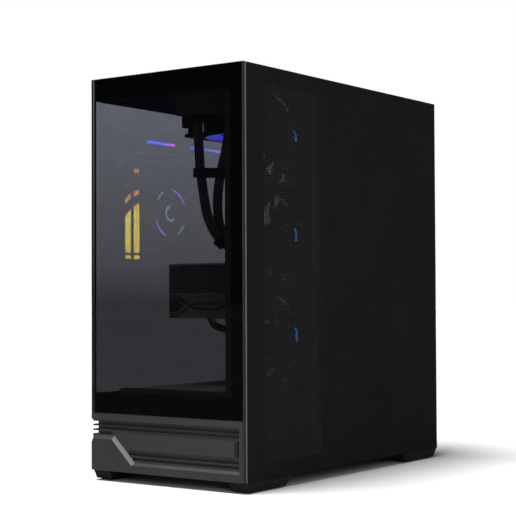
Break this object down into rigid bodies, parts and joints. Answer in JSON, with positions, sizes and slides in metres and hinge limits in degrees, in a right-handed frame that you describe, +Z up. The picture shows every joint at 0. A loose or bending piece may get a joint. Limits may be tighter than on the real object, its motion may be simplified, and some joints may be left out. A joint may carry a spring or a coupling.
{
  "type": "desktop computer tower",
  "caption": "Upright computer case with two smoked glass faces, perforated side intake, lit fans, roof liquid cooler, long graphics card and low power supply.",
  "frame": {"origin": "on the floor under the middle of the case", "axes": "+X to the right seen from the front, +Y to the rear, +Z up"},
  "size_m": [0.231, 0.447, 0.4878],
  "materials": {
    "steel_black": "fine matte powder coat",
    "trim_plastic": "fine textured",
    "black_plastic": "satin",
    "fan_plastic": "satin",
    "rotor_plastic": "milky satin",
    "button_plastic": "satin",
    "filter_mesh": "woven mesh in a frame",
    "rubber": "matte",
    "tube_rubber": "braided sleeve",
    "circuit_board": "dark solder mask",
    "memory": "anodised with a lit bar",
    "port_metal": "plated",
    "bright_steel": "plated",
    "dark_aluminium": "black anodised",
    "bare_aluminium": "satin",
    "card_plate": "satin",
    "smoked_glass": "smoked tempered glass",
    "black_print": "printed black band"
  },
  "bodies": {
    "chassis": {"base_pan": "steel_black", "rear_panel": "steel_black", "board_tray": "steel_black", "top_panel": "steel_black", "control_deck": "steel_black", "front_frame": "steel_black", "side_rails": "steel_black", "side_fan_bracket": "steel_black", "psu_shroud": "steel_black", "front_trim": "trim_plastic", "left_skirt": "trim_plastic", "feet": "black_plastic", "foot_pads": "rubber", "top_io_board": "circuit_board", "top_io_ports": "port_metal", "mainboard": "circuit_board", "rear_io_ports": "port_metal", "board_heatsinks": "dark_aluminium", "board_connectors": "black_plastic", "memory_sticks": "memory", "pump_head": "black_plastic", "radiator": "dark_aluminium", "coolant_tubes": "tube_rubber", "tube_clips": "black_plastic", "top_fan_frame_front": "fan_plastic", "top_fan_frame_rear": "fan_plastic", "side_fan_frame_top": "fan_plastic", "side_fan_frame_middle": "fan_plastic", "side_fan_frame_bottom": "fan_plastic", "rear_fan_frame": "fan_plastic", "card_shroud": "black_plastic", "card_heatsink": "bare_aluminium", "card_board": "card_plate", "card_bracket": "bright_steel", "psu_case": "steel_black", "psu_rear": "steel_black", "psu_inlet": "black_plastic", "slot_covers": "steel_black", "screws": "bright_steel", "power_cables": "tube_rubber"},
    "side_fan_rotor_top": {"side_fan_rotor_top": "rotor_plastic"},
    "side_fan_rotor_middle": {"side_fan_rotor_middle": "rotor_plastic"},
    "side_fan_rotor_bottom": {"side_fan_rotor_bottom": "rotor_plastic"},
    "top_fan_rotor_front": {"top_fan_rotor_front": "rotor_plastic"},
    "top_fan_rotor_rear": {"top_fan_rotor_rear": "rotor_plastic"},
    "rear_fan_rotor": {"rear_fan_rotor": "rotor_plastic"},
    "card_rotor_front": {"card_rotor_front": "rotor_plastic"},
    "card_rotor_middle": {"card_rotor_middle": "rotor_plastic"},
    "card_rotor_rear": {"card_rotor_rear": "rotor_plastic"},
    "psu_fan_rotor": {"psu_fan_rotor": "rotor_plastic"},
    "right_panel": {"right_panel": "steel_black"},
    "left_glass": {"left_glass": "smoked_glass", "left_glass_band": "black_print"},
    "front_glass": {"front_glass": "smoked_glass", "front_glass_band": "black_print"},
    "top_filter": {"top_filter": "filter_mesh"},
    "base_filter": {"base_filter": "filter_mesh"},
    "power_button": {"power_button": "button_plastic"},
    "light_button": {"light_button": "button_plastic"},
    "psu_switch": {"psu_switch": "button_plastic"}
  },
  "joints": [
    {"name": "side_fan_spin_top", "type": "hinge", "parent": "chassis", "child": "side_fan_rotor_top", "pos_m": [0.1058, -0.125, 0.4085], "axis": [1, 0, 0], "continuous": true},
    {"name": "side_fan_spin_middle", "type": "hinge", "parent": "chassis", "child": "side_fan_rotor_middle", "pos_m": [0.1058, -0.125, 0.2885], "axis": [1, 0, 0], "continuous": true},
    {"name": "side_fan_spin_bottom", "type": "hinge", "parent": "chassis", "child": "side_fan_rotor_bottom", "pos_m": [0.1058, -0.125, 0.168], "axis": [1, 0, 0], "continuous": true},
    {"name": "top_fan_spin_front", "type": "hinge", "parent": "chassis", "child": "top_fan_rotor_front", "pos_m": [0.01, -0.0665, 0.4215], "axis": [0, 0, 1], "continuous": true},
    {"name": "top_fan_spin_rear", "type": "hinge", "parent": "chassis", "child": "top_fan_rotor_rear", "pos_m": [0.01, 0.0535, 0.4215], "axis": [0, 0, 1], "continuous": true},
    {"name": "rear_fan_spin", "type": "hinge", "parent": "chassis", "child": "rear_fan_rotor", "pos_m": [-0.044, 0.1873, 0.3575], "axis": [0, 1, 0], "continuous": true},
    {"name": "card_spin_front", "type": "hinge", "parent": "chassis", "child": "card_rotor_front", "pos_m": [0.0015, -0.0697, 0.1951], "axis": [0, 0, 1], "continuous": true},
    {"name": "card_spin_middle", "type": "hinge", "parent": "chassis", "child": "card_rotor_middle", "pos_m": [0.0015, 0.0303, 0.1951], "axis": [0, 0, 1], "continuous": true},
    {"name": "card_spin_rear", "type": "hinge", "parent": "chassis", "child": "card_rotor_rear", "pos_m": [0.0015, 0.1303, 0.1951], "axis": [0, 0, 1], "continuous": true},
    {"name": "psu_fan_spin", "type": "hinge", "parent": "chassis", "child": "psu_fan_rotor", "pos_m": [0.017, 0.1263, 0.0167], "axis": [0, 0, 1], "continuous": true},
    {"name": "right_panel_pull", "type": "slide", "parent": "chassis", "child": "right_panel", "axis": [1, 0, 0], "range_m": [0, 0.05]},
    {"name": "left_glass_pull", "type": "slide", "parent": "chassis", "child": "left_glass", "axis": [-1, 0, 0], "range_m": [0, 0.05]},
    {"name": "front_glass_pull", "type": "slide", "parent": "chassis", "child": "front_glass", "axis": [0, -1, 0], "range_m": [0, 0.05]},
    {"name": "top_filter_lift", "type": "slide", "parent": "chassis", "child": "top_filter", "axis": [0, 0, 1], "range_m": [0, 0.05]},
    {"name": "base_filter_slide", "type": "slide", "parent": "chassis", "child": "base_filter", "axis": [0, 1, 0], "range_m": [0, 0.19]},
    {"name": "power_button_press", "type": "slide", "parent": "chassis", "child": "power_button", "axis": [0, 0, -1], "range_m": [0, 0.0015], "stiffness_N_per_m": 900, "springref_m": -0.0005},
    {"name": "light_button_press", "type": "slide", "parent": "chassis", "child": "light_button", "axis": [0, 0, -1], "range_m": [0, 0.001], "stiffness_N_per_m": 900, "springref_m": -0.0005},
    {"name": "psu_switch_rock", "type": "hinge", "parent": "chassis", "child": "psu_switch", "pos_m": [0.06, 0.2108, 0.0427], "axis": [1, 0, 0], "range_deg": [0, 16]}
  ]
}
